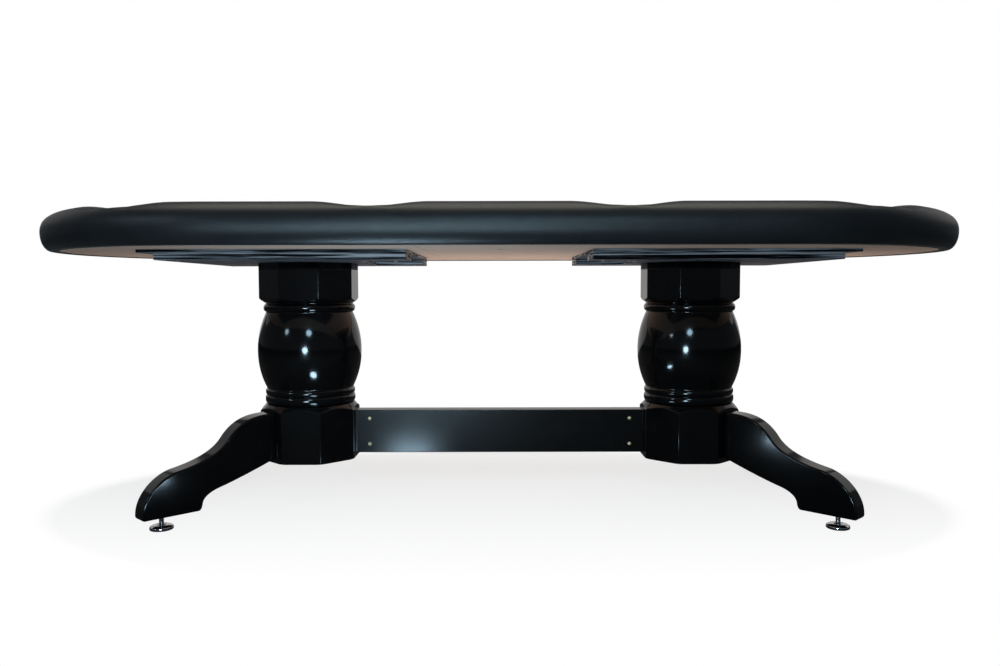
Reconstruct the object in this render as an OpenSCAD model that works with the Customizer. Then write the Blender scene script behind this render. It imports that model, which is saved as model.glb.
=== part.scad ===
// Oval gaming table: padded rail with ten cup holders, cloth playfield, plywood base,
// two turned pedestals on splayed legs, a stretcher beam and screw-in levelling feet.
// Origin: centre of the footprint, on the floor. +X along the table, +Z up.

/* [Table top] */
// Overall length over the padded rail
table_length = 2390; // [2200:2:2600]
// Overall width over the padded rail
table_width = 1114; // [1060:2:1200]
// Height of the rail's crest above the floor
table_height = 777.5; // [770:0.5:800]
// Width of the padded rail, outline to playfield
rail_width = 140; // [136:1:150]
// Width of vinyl folded under the rail
vinyl_return = 42; // [38:1:50]
// Thickness of the rail's vinyl
vinyl_thickness = 1.5; // [1:0.5:2]
// Thickness of the plywood of the base and of the rail's board
ply_thickness = 18; // [15:1:18]
// Half length of the middle panel of the base
middle_panel_half = 187; // [150:1:200]

/* [Playfield] */
// Thickness of the playfield board
playfield_board_thickness = 12; // [9:1:12]
// Thickness of the foam under the cloth
playfield_foam_thickness = 6; // [4:1:8]
// Thickness of the cloth
cloth_thickness = 1; // [0.5:0.5:2]

/* [Cup holders] */
// Inside radius of a cup
cup_radius = 37; // [34:0.5:38]
// Radius of a cup's flange
cup_flange_radius = 46.5; // [44:0.5:48]
// Depth of a cup under its flange, outside
cup_depth = 59; // [50:1:59]

/* [Pedestals] */
// Distance of each pedestal's axis from the table's centre
pedestal_offset = 528; // [500:1:560]
// Distance across the corners of the octagonal blocks
block_corners = 273.6; // [260:0.2:280]
// Largest radius of the turned column
column_radius = 141; // [136:0.2:142]
// Height of the lower block's underside above the floor
block_bottom = 120; // [110:1:130]
// Radius of the tie rod through a pedestal
tie_rod_radius = 6; // [5:0.5:6]

/* [Legs] */
// Thickness of a leg
leg_thickness = 50; // [44:1:56]
// Reach of a leg from the pedestal's axis to the toe
leg_reach = 482; // [460:1:490]
// Clearance of the toe above the floor
toe_height = 32; // [30:1:40]

/* [Stretcher] */
// Thickness of the stretcher beam
stretcher_thickness = 48; // [42:1:60]
// Height of the stretcher beam
stretcher_height = 119; // [100:1:125]

/* [Levelling feet] */
// Distance of a foot from the pedestal's axis
foot_reach = 427; // [420:1:435]
// Radius of a foot's pad
pad_radius = 28; // [22:1:30]
// Radius of the threaded stem
stem_radius = 6; // [5:0.5:6]

/* [Hidden] */
$fn = 96;
HANDS = ["left", "right"];
ROWS = ["front", "rear"];

// Gap between glued or butted faces, and round a fastener in its hole
gap = 0.1;
// Radial running clearance of a stem in its insert and pad
running = 0.05;

// Colours
VINYL = [0.05, 0.05, 0.06];
PLY = [0.78, 0.66, 0.56];
BLACK_PLY = [0.10, 0.10, 0.12];
LACQUER = [0.02, 0.02, 0.02];
FOAM = [0.72, 0.70, 0.62];
CLOTH = [0.05, 0.32, 0.17];
STEEL = [0.75, 0.75, 0.76];

// Table top, from the outline inwards: half lengths and half widths
half_width = table_width / 2;
straight_half = table_length / 2 - half_width;
crest_depth = rail_width / 2;
crest_radius = half_width - crest_depth;

// Heights, downwards from the crest
rail_body_height = 95.5;
rail_bottom = table_height - rail_body_height;
base_bottom = rail_bottom + 2;
base_top = base_bottom + ply_thickness;
rail_board_top = base_top + ply_thickness;
board_top = base_top + playfield_board_thickness;
foam_top = board_top + playfield_foam_thickness;
cloth_top = foam_top + cloth_thickness;
cup_seat = table_height - 13.5;

// Rail section: where it is widest and how full it is
rail_wide_rise = 44;
rail_undercut = 22;
rail_inner_rise = 53;
rail_fullness = 2.3;
core_inset = 24;

// Ten equal steps along the rail's crest, half a step either side of the middle
crest_length = 4 * straight_half + 2 * PI * crest_radius;
cup_step = crest_length / 10;

// Plates and boards that tie a pedestal to the base
plate_thickness = 8;
plate_half_width = 296;
plate_inner = 227.5;
plate_outer = 880;
cross_board_thickness = 18;
cross_board_inner = 227.5;
cross_board_outer = 837;
centre_board_half = 160;
centre_board_inner = 364;
plate_bottom = base_bottom - plate_thickness;
cross_board_bottom = plate_bottom - cross_board_thickness;

// Pedestal, upwards
block_radius = block_corners / 2;
block_apothem = block_radius * cos(22.5);
lower_block_flat_top = block_bottom + 136;
lower_block_top = block_bottom + 153;
upper_block_flat_bottom = cross_board_bottom - 97;
upper_block_bottom = cross_board_bottom - 110;
column_widest = block_bottom + 300;

// Legs and feet
tenon_length = 62;
tenon_thickness = 20;
tenon_height = 93;
stretcher_bottom = block_bottom + 13;
stretcher_middle = stretcher_bottom + stretcher_height / 2;
insert_length = 24;
insert_radius = 9;
stem_bottom = 4.5;
stem_top = toe_height + 38;
stem_hole_top = toe_height + 64;
screw_head_radius = 5.5;

// ---- Curves ----

// Points on a cubic curve from a to d, leaving out the first
function curve(a, b, c, d, steps) = [
    for (i = [1:steps]) let (t = i / steps, u = 1 - t)
        u^3 * a + 3 * u^2 * t * b + 3 * u * t^2 * c + t^3 * d];

// Outer face of the rail's section as [distance in from the outline, height],
// from the fold under the rail, over the crest, to the inner wall; shrunk by s
function rail_face(s) = let (wide = rail_bottom + rail_wide_rise, power = 2 / rail_fullness) concat(
    [for (a = [0:15:75]) [rail_undercut - (rail_undercut - s) * sin(a),
        wide - (rail_wide_rise - s) * cos(a)]],
    [for (a = [0:7.5:90]) [crest_depth - (crest_depth - s) * cos(a)^power,
        wide + (table_height - wide - s) * sin(a)^power]],
    [for (a = [82.5:-7.5:0]) [crest_depth + (rail_width - crest_depth - s) * cos(a)^power,
        table_height - rail_inner_rise + (rail_inner_rise - s) * sin(a)^power]]);

// Place of a cup: distance along the crest from the middle of the front side
function crest_place(s) = let (turn = (s - straight_half) / crest_radius * 180 / PI)
    s <= straight_half ? [s, -crest_radius]
    : [straight_half + crest_radius * sin(turn), -crest_radius * cos(turn)];

// The ten cups, anticlockwise from the front side's right middle one
cup_quarter = [for (i = [0:2]) crest_place((i + 0.5) * cup_step)];
CUPS = [
    cup_quarter[0], cup_quarter[1], cup_quarter[2],
    [cup_quarter[1][0], -cup_quarter[1][1]], [cup_quarter[0][0], -cup_quarter[0][1]],
    [-cup_quarter[0][0], -cup_quarter[0][1]], [-cup_quarter[1][0], -cup_quarter[1][1]],
    [-cup_quarter[2][0], cup_quarter[2][1]],
    [-cup_quarter[1][0], cup_quarter[1][1]], [-cup_quarter[0][0], cup_quarter[0][1]]];

// ---- Shared shapes ----

function side(hand) = hand == "right" ? 1 : -1;
function depth(row) = row == "rear" ? 1 : -1;

// Flat oval whose outline lies inset inwards from the table's outline
module oval(inset) {
    square([2 * straight_half, 2 * (half_width - inset)], center = true);
    for (x = [-1, 1]) translate([x * straight_half, 0]) circle(half_width - inset, $fn = 180);
}

// Right-hand half-ring end of the rail from a section given as [inwards, height]
module rail_end(section) {
    translate([straight_half, 0, 0]) rotate([0, 0, -90]) rotate_extrude(angle = 180, $fn = 180)
        polygon([for (p = section) [half_width - p[0], p[1]]]);
}

// Front straight of the rail from the same kind of section
module rail_straight(section, half_length) {
    rotate([90, 0, 90]) linear_extrude(2 * half_length, center = true)
        polygon([for (p = section) [p[0] - half_width, p[1]]]);
}

// Whole ring of the rail from a section
module rail_ring(section) {
    for (flip = [0, 1]) mirror([0, flip, 0]) rail_straight(section, straight_half);
    for (flip = [0, 1]) mirror([flip, 0, 0]) rail_end(section);
}

// Cutters at all cups
module at_cups() {
    for (p = CUPS) translate([p[0], p[1], 0]) children();
}

module rod(radius, low, high) {
    translate([0, 0, low]) cylinder(r = radius, h = high - low);
}

// Pedestal frame: the right-hand one, mirrored for the left
module at_pedestal(hand) {
    mirror([hand == "left" ? 1 : 0, 0, 0]) translate([pedestal_offset, 0, 0]) children();
}

// Leg frame: +X runs out along the leg from the pedestal's axis
module at_leg(hand, row) {
    at_pedestal(hand) rotate([0, 0, depth(row) * 45]) children();
}

// Screw pointing up with a domed head under low
module wood_screw(low, length, radius) {
    rod(radius, low, low + length);
    translate([0, 0, low]) mirror([0, 0, 1]) rotate_extrude()
        polygon([[0, 0], [screw_head_radius, 0], [screw_head_radius, 0.6], [4.4, 1.7], [2.4, 2.4], [0, 2.6]]);
}

// ---- Table top ----

base_screw_places = [for (x = [-1, 1], y = [-1, 1]) [530 * x, 500 * y]];
middle_screw_places = [for (y = [-1, 1]) [0, 286 * y]];
board_screw_places = [for (x = [260, 808], y = [-1, 1]) [x - pedestal_offset, 220 * y]];

module base_panel(low_x, high_x) {
    color(PLY) difference() {
        translate([0, 0, base_bottom]) linear_extrude(ply_thickness) intersection() {
            oval(vinyl_return);
            translate([low_x, -half_width]) square([high_x - low_x, table_width]);
        }
        for (p = concat(base_screw_places, middle_screw_places))
            translate([p[0], p[1], 0]) rod(2 + gap, base_bottom - 1, base_top + 1);
        for (h = HANDS) at_pedestal(h) {
            for (p = board_screw_places) translate([p[0], p[1], 0])
                rod(2 + gap, base_bottom - 1, base_bottom + 15);
        }
    }
}

// Flat plywood ring that carries the foam and the cups
module rail_board() {
    color(PLY) difference() {
        rail_ring([[core_inset, base_top + gap], [rail_width - 2, base_top + gap],
            [rail_width - 2, rail_board_top], [core_inset, rail_board_top]]);
        at_cups() rod(cup_radius + 2, base_top - 1, rail_board_top + 1);
        for (p = base_screw_places) translate([p[0], p[1], 0]) rod(2 + gap, base_top - 1, base_top + 15);
    }
}

// Plywood strip outside the base's edge, under the rail's board
module rail_edge_strip() {
    color(PLY) rail_ring([[core_inset, base_bottom], [vinyl_return - gap, base_bottom],
        [vinyl_return - gap, base_top], [core_inset, base_top]]);
}

foam_section = concat([[core_inset - gap, rail_bottom + vinyl_thickness + gap]],
    rail_face(vinyl_thickness + gap),
    [[rail_width - vinyl_thickness - gap, rail_board_top + gap], [core_inset - gap, rail_board_top + gap]]);

module foam_cutters() {
    at_cups() {
        rod(cup_radius + 2, rail_board_top - 1, table_height);
        rod(cup_flange_radius + 2, cup_seat - 1.2, table_height + 1);
    }
}

module rail_foam_straight(row) {
    color(FOAM) difference() {
        mirror([0, row == "rear" ? 1 : 0, 0]) rail_straight(foam_section, straight_half - gap);
        foam_cutters();
    }
}

module rail_foam_end(hand) {
    color(FOAM) difference() {
        mirror([hand == "left" ? 1 : 0, 0, 0]) rail_end(foam_section);
        foam_cutters();
    }
}

// Vinyl skin: folded under the rail, over the foam and down to the playfield
module rail_cover() {
    outside = rail_face(0);
    inside = rail_face(vinyl_thickness);
    under = rail_bottom + vinyl_thickness;
    wall = rail_width - vinyl_thickness;
    section = concat([[vinyl_return, rail_bottom]], outside,
        [[rail_width, base_top + 1], [wall, base_top + 1]],
        [for (i = [len(inside) - 1:-1:0]) inside[i]], [[vinyl_return, under]]);
    color(VINYL) difference() {
        rail_ring(section);
        at_cups() rod(cup_flange_radius + 2, rail_board_top, table_height + 1);
    }
}

// One layer of the playfield inside the rail
module playfield_layer(low, high) {
    translate([0, 0, low]) linear_extrude(high - low) oval(rail_width + 1);
}

module playfield_board() {
    color(PLY) difference() {
        playfield_layer(base_top + gap, board_top);
        for (p = middle_screw_places) translate([p[0], p[1], 0]) rod(2 + gap, base_top, base_top + 9);
    }
}

module playfield_foam() {
    color(FOAM) playfield_layer(board_top + gap, foam_top);
}

module playfield_cloth() {
    color(CLOTH) playfield_layer(foam_top + gap, cloth_top);
}

// Drop-in steel cup with a rolled flange, turned about its own axis
module cup_holder(index) {
    wall = 1;
    fillet = 4;
    floor_low = cup_seat - cup_depth;
    flange_top = cup_seat + wall;
    outer = cup_radius + wall;
    place = CUPS[index - 1];
    color(STEEL) translate([place[0], place[1], 0]) rotate_extrude() polygon(concat(
        [[0, floor_low]],
        [for (a = [0:18:90]) [outer - fillet + fillet * sin(a), floor_low + fillet - fillet * cos(a)]],
        [[outer, cup_seat], [cup_flange_radius, cup_seat], [cup_flange_radius, cup_seat - 0.8],
            [cup_flange_radius + 0.8, cup_seat - 0.4], [cup_flange_radius + 0.8, cup_seat + 0.4],
            [cup_flange_radius, flange_top], [cup_radius + 1, flange_top], [cup_radius, flange_top - 1]],
        [for (a = [90:-18:0]) [cup_radius - fillet + fillet * sin(a), floor_low + wall + fillet - fillet * cos(a)]],
        [[0, floor_low + wall]]));
}

// ---- Boards under the top ----

module board_block(low_x, high_x, low_y, high_y, low, high) {
    translate([low_x - pedestal_offset, low_y, low]) cube([high_x - low_x, high_y - low_y, high - low]);
}

module board_screw_holes() {
    for (p = board_screw_places) translate([p[0], p[1], 0])
        rod(2 + gap, cross_board_bottom - 1, base_bottom + 1);
}

module mounting_plate(hand) {
    color(BLACK_PLY) at_pedestal(hand) difference() {
        board_block(plate_inner, plate_outer, -plate_half_width, plate_half_width,
            plate_bottom, base_bottom - gap);
        rod(tie_rod_radius + 3, plate_bottom - 1, base_bottom);
        rod(14.5, base_bottom - gap - 2, base_bottom);
        board_screw_holes();
    }
}

module cross_board(part, hand) {
    inner = part == "centre" ? centre_board_inner : cross_board_inner;
    low_y = part == "front" ? -plate_half_width : part == "rear" ? centre_board_half : -centre_board_half + gap;
    high_y = part == "front" ? -centre_board_half : part == "rear" ? plate_half_width : centre_board_half - gap;
    color(BLACK_PLY) at_pedestal(hand) difference() {
        board_block(inner, cross_board_outer, low_y, high_y, cross_board_bottom, plate_bottom - gap);
        rod(tie_rod_radius + 1, cross_board_bottom - 1, plate_bottom);
        board_screw_holes();
    }
}

// ---- Pedestals ----

// Octagonal prism with flats towards the axes, trimmed by a turned section
module octagon_block(low, high, section) {
    intersection() {
        rotate([0, 0, 22.5]) translate([0, 0, low]) cylinder(r = block_radius, h = high - low, $fn = 8);
        rotate_extrude() polygon(section);
    }
}

module upper_block(hand) {
    bottom = upper_block_bottom;
    flat = upper_block_flat_bottom;
    color(LACQUER) at_pedestal(hand) difference() {
        octagon_block(bottom, cross_board_bottom - gap, concat(
            [[0, bottom], [119, bottom], [119, bottom + 2]],
            curve([119, bottom + 2], [122, bottom + 3], [127, bottom + 7], [132, bottom + 10], 4),
            [[block_radius + 1, flat + 2], [block_radius + 1, cross_board_bottom], [0, cross_board_bottom]]));
        rod(tie_rod_radius + 1, bottom - 1, cross_board_bottom);
    }
}

module lower_block(hand) {
    top = lower_block_top;
    flat = lower_block_flat_top;
    color(LACQUER) at_pedestal(hand) difference() {
        octagon_block(block_bottom, top, concat(
            [[0, block_bottom], [block_radius - 3, block_bottom], [block_radius + 1, block_bottom + 4],
                [block_radius + 1, flat]],
            curve([block_radius + 1, flat], [132, flat + 4], [127, flat + 8], [121, top - 1], 5),
            [[120, top], [0, top]]));
        rod(tie_rod_radius + 1, block_bottom - 1, top + 1);
        rod(17, block_bottom - 1, block_bottom + 16);
        tenon_block(gap);
        for (row = ROWS) rotate([0, 0, depth(row) * 45]) leg_bolt_holes();
    }
}

// Half-round bead from low to high, as points of a turned section going up
function bead(low, high, valley, crest) = [
    for (a = [0:15:180]) [valley + (crest - valley) * sin(a), (low + high) / 2 - (high - low) / 2 * cos(a)]];

// Barrel between two pairs of beads
module turned_column(hand) {
    low = lower_block_top + gap;
    high = upper_block_bottom - gap;
    barrel_low = block_bottom + 195;
    barrel_high = upper_block_bottom - 22;
    waist = 117;
    barrel = [for (i = [1:23]) let (
        z = barrel_low + (barrel_high - barrel_low) * i / 24,
        reach = z < column_widest ? column_widest - barrel_low : barrel_high - column_widest,
        power = z < column_widest ? 2.2 : 2)
        [column_radius - (column_radius - waist) * pow(abs(z - column_widest) / reach, power), z]];
    color(LACQUER) at_pedestal(hand) difference() {
        rotate_extrude() polygon(concat(
            [[0, low], [117, low]],
            bead(lower_block_top + 2, block_bottom + 177, 118, 122.4),
            bead(block_bottom + 177.5, barrel_low - 0.5, 117, 121.6),
            barrel,
            bead(barrel_high, high - 1, 117.5, 124.4),
            [[118.5, high], [0, high]]));
        rod(tie_rod_radius + 1, low - 1, high + 1);
    }
}

// Threaded rod with a flanged nut in the plate, and a washer and nut under the block
module tie_rod(hand) {
    recess = block_bottom + 16;
    color(STEEL) at_pedestal(hand) {
        rod(tie_rod_radius, block_bottom + 2, base_bottom - gap - 1.5);
        difference() {
            union() {
                rod(tie_rod_radius + 2.9, plate_bottom + gap, base_bottom - 0.2);
                rod(14.3, base_bottom - 1.9, base_bottom - 0.2);
            }
            rod(tie_rod_radius + gap, plate_bottom, base_bottom);
        }
        difference() {
            rod(15, recess - 2.6, recess - gap);
            rod(tie_rod_radius + gap, recess - 3, recess);
        }
        difference() {
            translate([0, 0, recess - 12.7]) cylinder(r = 11, h = 10, $fn = 6);
            rod(tie_rod_radius + gap, recess - 14, recess);
        }
    }
}

// ---- Legs ----

// Side outline of a leg as [reach, height]: S-curved back, blunt toe, hollow underside
leg_outline = let (root = block_apothem + gap, toe = leg_reach, sole = toe_height) concat(
    [[root, 256]],
    curve([root, 256], [175, 257], [224, 253], [262, 200], 12),
    curve([262, 200], [286, 168], [340, 151], [389, 142], 10),
    curve([389, 142], [432, 135], [toe, 92], [toe, 40], 10),
    curve([toe, 40], [toe, 36], [toe - 2, sole], [toe - 6, sole], 3),
    [[342, sole]],
    curve([342, sole], [335, sole], [332, 42], [331, 50], 4),
    curve([331, 50], [329, 64], [310, 76], [286, 82], 6),
    curve([286, 82], [240, 94], [180, 114], [root, 134], 8));

// Two bolts across each joint between a leg and the block
leg_bolt_heights = [165, 225];
leg_bolt_half = 42;

module leg_bolt_holes() {
    for (z = leg_bolt_heights) translate([block_apothem, 0, z]) rotate([0, 90, 0])
        cylinder(r = 4 + gap, h = 2 * leg_bolt_half + 2, center = true);
}

module leg(row, hand) {
    color(LACQUER) at_leg(hand, row) difference() {
        rotate([90, 0, 0]) linear_extrude(leg_thickness, center = true) polygon(leg_outline);
        leg_bolt_holes();
        translate([foot_reach, 0, 0]) {
            rod(stem_radius + 1, toe_height - 1, stem_hole_top);
            rod(insert_radius + gap, toe_height - 1, toe_height + insert_length + gap);
            rod(15 + gap, toe_height - 1, toe_height + 1.5);
        }
    }
}

module leg_bolts() {
    color(STEEL) for (h = HANDS, r = ROWS) at_leg(h, r)
        for (z = leg_bolt_heights) translate([block_apothem, 0, z]) rotate([0, 90, 0])
            cylinder(r = 4, h = 2 * leg_bolt_half, center = true);
}

// ---- Stretcher ----

// Tenon that stands out of the lower block towards the table's middle, grown by grow
module tenon_block(grow) {
    translate([-block_apothem - tenon_length - grow, -tenon_thickness / 2 - grow,
        stretcher_middle - tenon_height / 2 - grow])
        cube([tenon_length + 24 + 2 * grow, tenon_thickness + 2 * grow, tenon_height + 2 * grow]);
}

module at_stretcher_screws() {
    for (h = HANDS, z = [-1, 1]) at_pedestal(h)
        translate([-block_apothem - 41, -stretcher_thickness / 2, stretcher_middle + 35.5 * z])
            rotate([-90, 0, 0]) children();
}

module stretcher_tenon(hand) {
    color(PLY) difference() {
        at_pedestal(hand) tenon_block(0);
        at_stretcher_screws() rod(2.5 + gap, -1, 33);
    }
}

module stretcher() {
    half_length = pedestal_offset - block_apothem - gap;
    color(LACQUER) difference() {
        translate([-half_length, -stretcher_thickness / 2, stretcher_bottom])
            cube([2 * half_length, stretcher_thickness, stretcher_height]);
        for (h = HANDS) at_pedestal(h) tenon_block(gap);
        at_stretcher_screws() rod(2.5 + gap, -1, 33);
    }
}

module stretcher_screws() {
    color(STEEL) at_stretcher_screws() wood_screw(0, 32, 2.5);
}

// ---- Levelling feet ----

module at_foot(row, hand) {
    at_leg(hand, row) translate([foot_reach, 0, 0]) children();
}

module leveller_inserts() {
    color(STEEL) for (r = ROWS, h = HANDS) at_foot(r, h) difference() {
        union() {
            rod(insert_radius, toe_height, toe_height + insert_length);
            rod(15, toe_height, toe_height + 1.4);
        }
        rod(stem_radius + running, toe_height - 1, toe_height + insert_length + 1);
    }
}

module leveller_stem(row, hand) {
    color(STEEL) at_foot(row, hand) rod(stem_radius, stem_bottom, stem_top);
}

// Swivel pad: flat sole, domed top and a socket for the stem
module leveller_pad(row, hand) {
    color(STEEL) at_foot(row, hand) difference() {
        rotate_extrude() polygon(concat(
            [[0, 0], [pad_radius - 1.5, 0], [pad_radius, 1.5], [pad_radius, 6]],
            curve([pad_radius, 6], [pad_radius - 1, 9.5], [20, 11.5], [13, 12], 6),
            [[10, 13], [0, 13]]));
        rod(stem_radius + running, stem_bottom - 0.3, 14);
    }
}

// ---- Fasteners of the top ----

module board_screws() {
    color(STEEL) for (h = HANDS) at_pedestal(h) for (p = board_screw_places)
        translate([p[0], p[1], 0]) wood_screw(cross_board_bottom, 40, 2);
}

module base_screws() {
    color(STEEL) {
        for (p = base_screw_places) translate([p[0], p[1], 0]) wood_screw(base_bottom, 32, 2);
        for (p = middle_screw_places) translate([p[0], p[1], 0]) wood_screw(base_bottom, 26, 2);
    }
}

// ---- Nodes ----

base_panel(-table_length / 2, -middle_panel_half - gap);  // base_panel_left
base_panel(-middle_panel_half, middle_panel_half);  // base_panel_centre
base_panel(middle_panel_half + gap, table_length / 2);  // base_panel_right
rail_board();
rail_edge_strip();
rail_foam_straight("front");  // rail_foam_front
rail_foam_straight("rear");  // rail_foam_rear
rail_foam_end("left");  // rail_foam_left
rail_foam_end("right");  // rail_foam_right
rail_cover();
playfield_board();
playfield_foam();
playfield_cloth();
for (i = [1:10]) cup_holder(i);
for (h = HANDS) {
    mounting_plate(h);
    for (p = ["front", "centre", "rear"])
        cross_board(p, h);
    upper_block(h);
    turned_column(h);
    lower_block(h);
    tie_rod(h);
    stretcher_tenon(h);
    for (r = ROWS) {
        leg(r, h);
        leveller_stem(r, h);
        leveller_pad(r, h);
    }
}
stretcher();
leveller_inserts();
leg_bolts();
stretcher_screws();
board_screws();
base_screws();
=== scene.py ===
"""Looks of the oval gaming table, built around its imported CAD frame. Metres, +X along the table, +Z up."""

import math

import bmesh
import bpy
from mathutils import Matrix, Vector, noise


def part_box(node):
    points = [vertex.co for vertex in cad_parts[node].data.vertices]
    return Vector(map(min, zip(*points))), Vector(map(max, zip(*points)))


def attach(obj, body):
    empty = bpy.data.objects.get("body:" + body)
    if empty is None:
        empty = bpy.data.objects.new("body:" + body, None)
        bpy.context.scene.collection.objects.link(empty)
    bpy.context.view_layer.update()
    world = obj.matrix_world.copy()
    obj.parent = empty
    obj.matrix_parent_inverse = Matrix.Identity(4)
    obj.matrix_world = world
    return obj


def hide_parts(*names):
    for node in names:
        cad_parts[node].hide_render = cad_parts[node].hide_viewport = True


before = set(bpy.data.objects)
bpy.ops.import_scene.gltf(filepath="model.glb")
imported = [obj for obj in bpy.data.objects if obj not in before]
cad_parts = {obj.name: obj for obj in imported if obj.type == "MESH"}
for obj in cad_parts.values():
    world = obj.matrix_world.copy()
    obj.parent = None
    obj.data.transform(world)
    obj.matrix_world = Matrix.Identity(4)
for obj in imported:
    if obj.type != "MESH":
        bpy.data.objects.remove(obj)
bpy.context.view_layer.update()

# ---- Driving sizes, from the frame ----

HANDS = ("left", "right")
ROWS = ("front", "rear")
cover_low, cover_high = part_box("rail_cover")
cloth_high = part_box("playfield_cloth")[1]
base_low, base_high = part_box("base_panel_centre")
board_low, board_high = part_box("rail_board")
centre_board_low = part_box("cross_board_centre_right")[0]
column_low, column_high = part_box("turned_column_right")
block_low, block_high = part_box("lower_block_right")
upper_low, upper_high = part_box("upper_block_right")
beam_low, beam_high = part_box("stretcher")

half_length = cover_high.x
half_width = cover_high.y
straight_half = half_length - half_width
crest = cover_high.z
rail_bottom = cover_low.z
pedestal_x = (column_low.x + column_high.x) / 2
block_apothem = (block_high.y - block_low.y) / 2
column_radius = (column_high.y - column_low.y) / 2

CLEARANCE = 0.0003

# Rail section: depths in from the outline, rises, the fullness of its curve and the rows that draw it
RAIL_WIDTH = 0.140
CREST_DEPTH = RAIL_WIDTH / 2
HEM_DEPTH = 0.042
UNDERCUT = 0.022
WIDE_RISE = 0.044
INNER_RISE = 0.053
FULLNESS = 2.3
SKIN = 0.0015
WALL_CLEARANCE = 0.0008
PATCH_MARGIN = 0.2
HEM_ROWS = 4
ROLL_ROWS = 8
SHOULDER_ROWS = 7
WALL_ROWS = 3
wide_height = rail_bottom + WIDE_RISE
crest_radius = half_width - CREST_DEPTH
end_arc = math.pi * crest_radius
crest_length = 4 * straight_half + 2 * end_arc

# Cups and the dips that they press into the rail
CUPS = 10
CUP_RADIUS = 0.037
CUP_WALL = 0.0008
CUP_FILLET = 0.006
FLANGE_RADIUS = 0.0465
FLANGE_THICKNESS = 0.001
FAR_FROM_CUP = 1.0
DIP_HALF = 0.128
DIP_SOFTNESS = 0.004
DIP_ABOVE_SEAT = 0.0015
SETTLE_START = 0.0013
SETTLE_WIDTH = 0.003
LIP_RADIUS = 0.0440
LIP_WIDTH = 0.0025
LIP_DROP = 0.002
cup_low, cup_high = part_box("cup_holder_1")
cup_seat = cup_high.z - FLANGE_THICKNESS
dip_level = cup_seat + DIP_ABOVE_SEAT
cup_step = crest_length / CUPS

# Rows and columns of the rail's skin: per cup step, and in the square patch round each cup
BLOCK_CELLS = 12
STEP_CELLS = 60
RING_RADII = (0.0540, 0.0520, 0.0505, 0.0492, 0.0480, 0.0465, 0.0440, 0.0415)

# The skin as cloth that swells over its foam, and where it is held
SWELL_PRESSURE = 4.0
SWELL_FRAMES = 20
SWELL_CAP = 0.0006
HELD_RADIUS = 0.0508
HELD_HEM = 0.001
HELD_WALL = 0.010
VINYL_CLOTH = {"quality": 6, "mass": 0.3, "tension_stiffness": 30, "compression_stiffness": 30,
               "shear_stiffness": 10, "bending_stiffness": 1.0}

# Foam under the skin
FOAM_GAP = 0.0004
FOAM_PRESS = 0.002
FOAM_RELEASE = 0.018
CUP_HOLE_GAP = 0.002
CUTTER_BELOW = 0.01
CUTTER_ABOVE = 0.02

# Playfield
PAD_ROUNDING = 0.002
CLOTH_THICKNESS = 0.0006
CLOTH_INSET = 0.0002
CLOTH_SINK = 0.0004
RIPPLES = 3.0
RIPPLE_HEIGHT = 0.0002

# Boards and turned blocks
SEAM_GAP = 0.0014
PANEL_ROUNDING = 0.0010
BOARD_ROUNDING = 0.0012
BEAM_ROUNDING = 0.0022
BLOCK_ROUNDING = 0.0028
TURNING_SOFTNESS = 0.0012
BLOCK_FLAT = 0.136
WAIST_RADIUS = 0.117
WIDEST_RISE = 0.300
BARREL_RISE = 0.195
BARREL_DROP = 0.022

# Legs, feet and screws
LEG_REACH = 0.482
LEG_THICKNESS = 0.050
LEG_ROUNDING = 0.0045
FOOT_REACH = 0.427
STEM_PITCH = 0.00175
THREAD_DEPTH = 0.0007
THREAD_TAPER = 0.0015
HEAD_RADIUS = 0.0055
CROSS_ARM = 0.0031
CROSS_HALF_WIDTH = 0.0007
CROSS_DEPTH = 0.0014
CROSS_SLOPE = 0.0003


# ---- Small helpers ----

def smooth(t):
    t = min(1.0, max(0.0, t))
    return t * t * (3 - 2 * t)


def mix(a, b, t):
    return a + (b - a) * t


def side(hand):
    return 1 if hand == "right" else -1


def depth_sign(row):
    return 1 if row == "rear" else -1


def curve(a, b, c, d, steps):
    """Points on a cubic curve from a to d, leaving out the first."""
    points = []
    for i in range(1, steps + 1):
        t = i / steps
        u = 1 - t
        weights = (u ** 3, 3 * u * u * t, 3 * u * t * t, t ** 3)
        points.append(tuple(sum(w * p[k] for w, p in zip(weights, (a, b, c, d))) for k in (0, 1)))
    return points


def link(name, data):
    obj = bpy.data.objects.new(name, data)
    bpy.context.scene.collection.objects.link(obj)
    return obj


def new_piece(name, points, faces, shade_smooth=True):
    mesh = bpy.data.meshes.new(name)
    mesh.from_pydata([tuple(p) for p in points], [], faces)
    mesh.validate()
    made = bmesh.new()
    made.from_mesh(mesh)
    bmesh.ops.recalc_face_normals(made, faces=made.faces)
    made.to_mesh(mesh)
    made.free()
    for polygon in mesh.polygons:
        polygon.use_smooth = shade_smooth
    return link(name, mesh)


def tube(start, rows, count):
    """Quads between rows of points, each row a closed ring of count points, numbered from start."""
    faces = []
    for a in range(start, start + (rows - 1) * count, count):
        for k in range(count):
            k2 = (k + 1) % count
            faces.append((a + k, a + k2, a + count + k2, a + count + k))
    return faces


def capped_tube(start, rows, count):
    """The same, closed by a face at either end."""
    last = start + (rows - 1) * count
    return tube(start, rows, count) + [tuple(range(start, start + count)), tuple(range(last, last + count))]


def unmoved(u, v, w):
    return u, v, w


def modify(obj, kind, **settings):
    modifier = obj.modifiers.new(kind.lower(), kind)
    for key, value in settings.items():
        setattr(modifier, key, value)
    return obj


def soften(obj, width):
    """Rounded edges with flat faces that still look flat."""
    modify(obj, "BEVEL", width=width, segments=3, limit_method="ANGLE",
           angle_limit=math.radians(40))
    modify(obj, "WEIGHTED_NORMAL", keep_sharp=True, weight=80)
    return obj


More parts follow.
